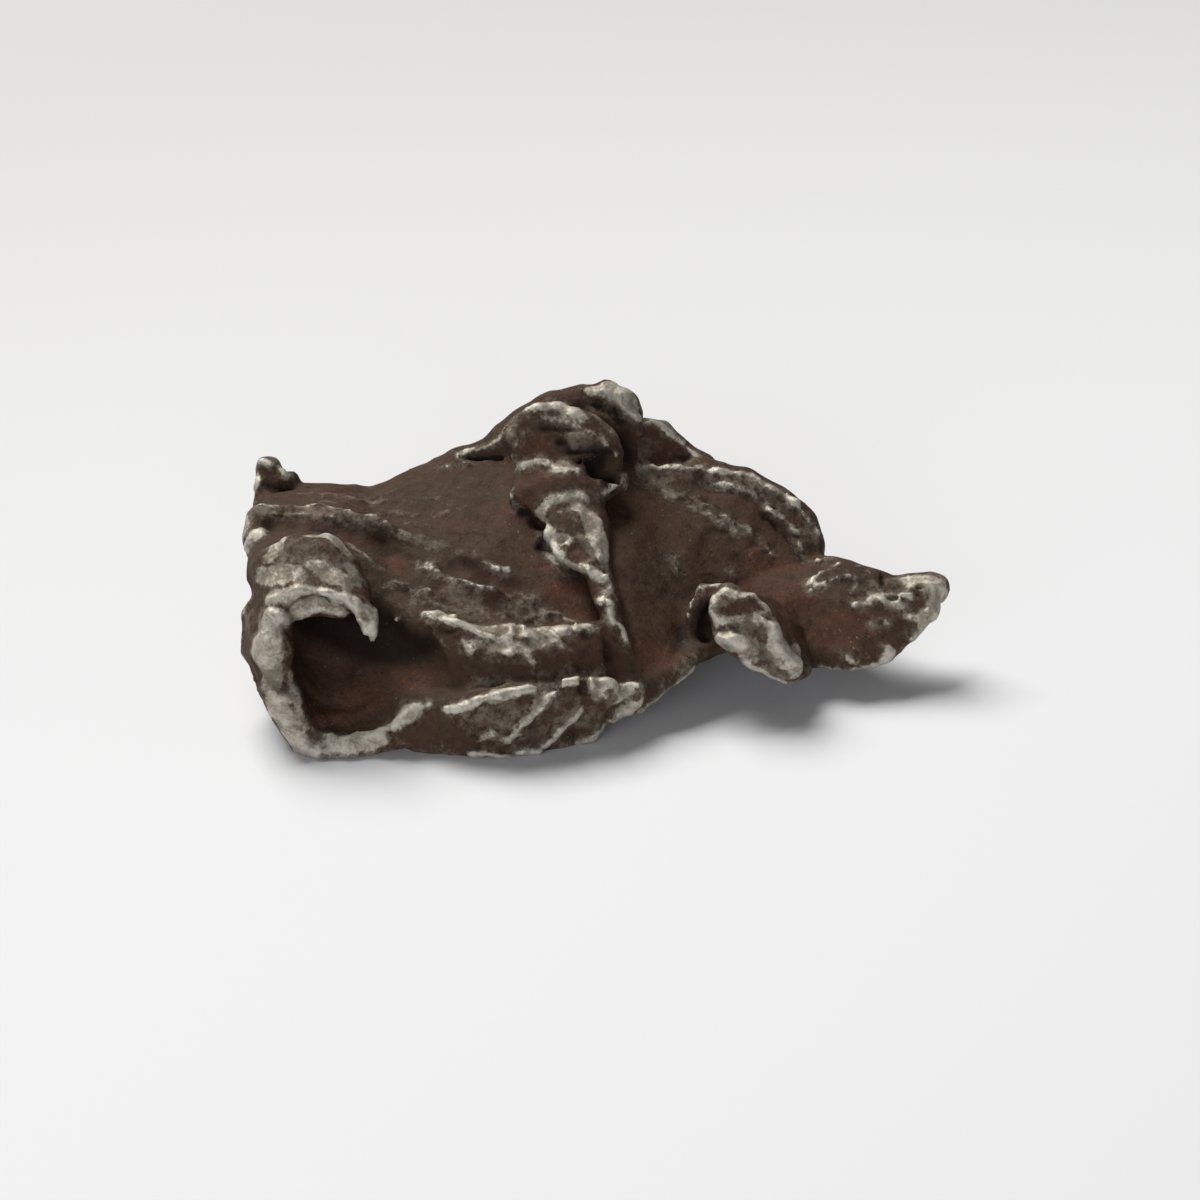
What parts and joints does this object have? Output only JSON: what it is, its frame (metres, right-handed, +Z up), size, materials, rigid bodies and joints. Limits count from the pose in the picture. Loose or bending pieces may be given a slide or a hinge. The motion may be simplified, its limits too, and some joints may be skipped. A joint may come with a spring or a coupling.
{
  "type": "iron meteorite fragment",
  "caption": "Torn, twisted piece of natural nickel iron with a hooked end, a knobbed crest and a thin pointed tail; a display or study specimen that lies on a surface.",
  "frame": {"origin": "under the middle of the fragment's bounding box, at the level it rests on", "axes": "+X from the hooked, curled end to the pointed tail (the longest extent), +Y from the scooped front to the torn back, +Z up (the shortest extent)"},
  "size_m": [0.0358, 0.0182, 0.0128],
  "materials": {
    "weathered_iron": "brown-grey weathered nickel iron, worn to bare pale metal along edges and ridges, with reddish rust and dark soil in the hollows"
  },
  "bodies": {
    "root": {"meteorite": "weathered_iron"}
  },
  "joints": []
}
